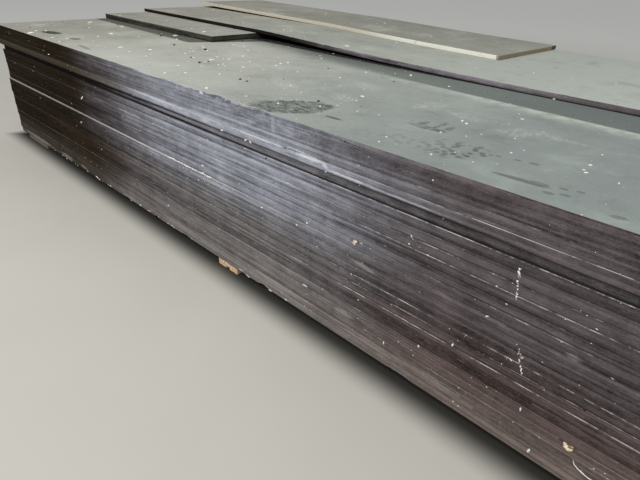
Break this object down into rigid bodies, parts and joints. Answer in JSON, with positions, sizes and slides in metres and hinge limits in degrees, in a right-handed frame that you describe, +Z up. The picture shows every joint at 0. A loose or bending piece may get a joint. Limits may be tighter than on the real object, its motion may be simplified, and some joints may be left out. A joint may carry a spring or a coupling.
{
  "type": "stack of plywood sheets",
  "caption": "Stack of film-faced plywood sheets with dark sealed edges on low wooden bearers, with loose cut boards lying on top.",
  "frame": {"origin": "middle of the whole footprint, on the ground under the bearers", "axes": "+X along the sheets' length, towards the end that is near in the picture; +Y from the sheets' front edges to the back; +Z up"},
  "size_m": [2.4768, 1.3256, 0.4842],
  "materials": {
    "sealed_plywood": "film face under grey dust, edges sealed with dark purple-brown paint",
    "thin_plywood": "film face under grey dust, edges sealed or raw sawn",
    "bearer_wood": "raw sawn wood, dusty"
  },
  "bodies": {
    "root": {"sheet_01": "sealed_plywood", "sheet_02": "sealed_plywood", "sheet_03": "sealed_plywood", "sheet_04": "sealed_plywood", "sheet_05": "sealed_plywood", "sheet_06": "sealed_plywood", "sheet_07": "sealed_plywood", "sheet_08": "sealed_plywood", "sheet_09": "sealed_plywood", "sheet_10": "sealed_plywood", "sheet_11": "sealed_plywood", "sheet_12": "sealed_plywood", "sheet_13": "sealed_plywood", "sheet_14": "sealed_plywood", "sheet_15": "sealed_plywood", "sheet_16": "sealed_plywood", "sheet_17": "sealed_plywood", "sheet_18": "sealed_plywood", "sheet_19": "sealed_plywood", "sheet_20": "sealed_plywood", "sheet_21": "sealed_plywood", "sheet_22": "sealed_plywood", "sheet_23": "sealed_plywood", "offcut_board": "sealed_plywood", "long_board": "thin_plywood", "raw_edge_board": "thin_plywood", "left_bearer": "bearer_wood", "middle_bearer": "bearer_wood", "right_bearer": "bearer_wood"}
  },
  "joints": []
}
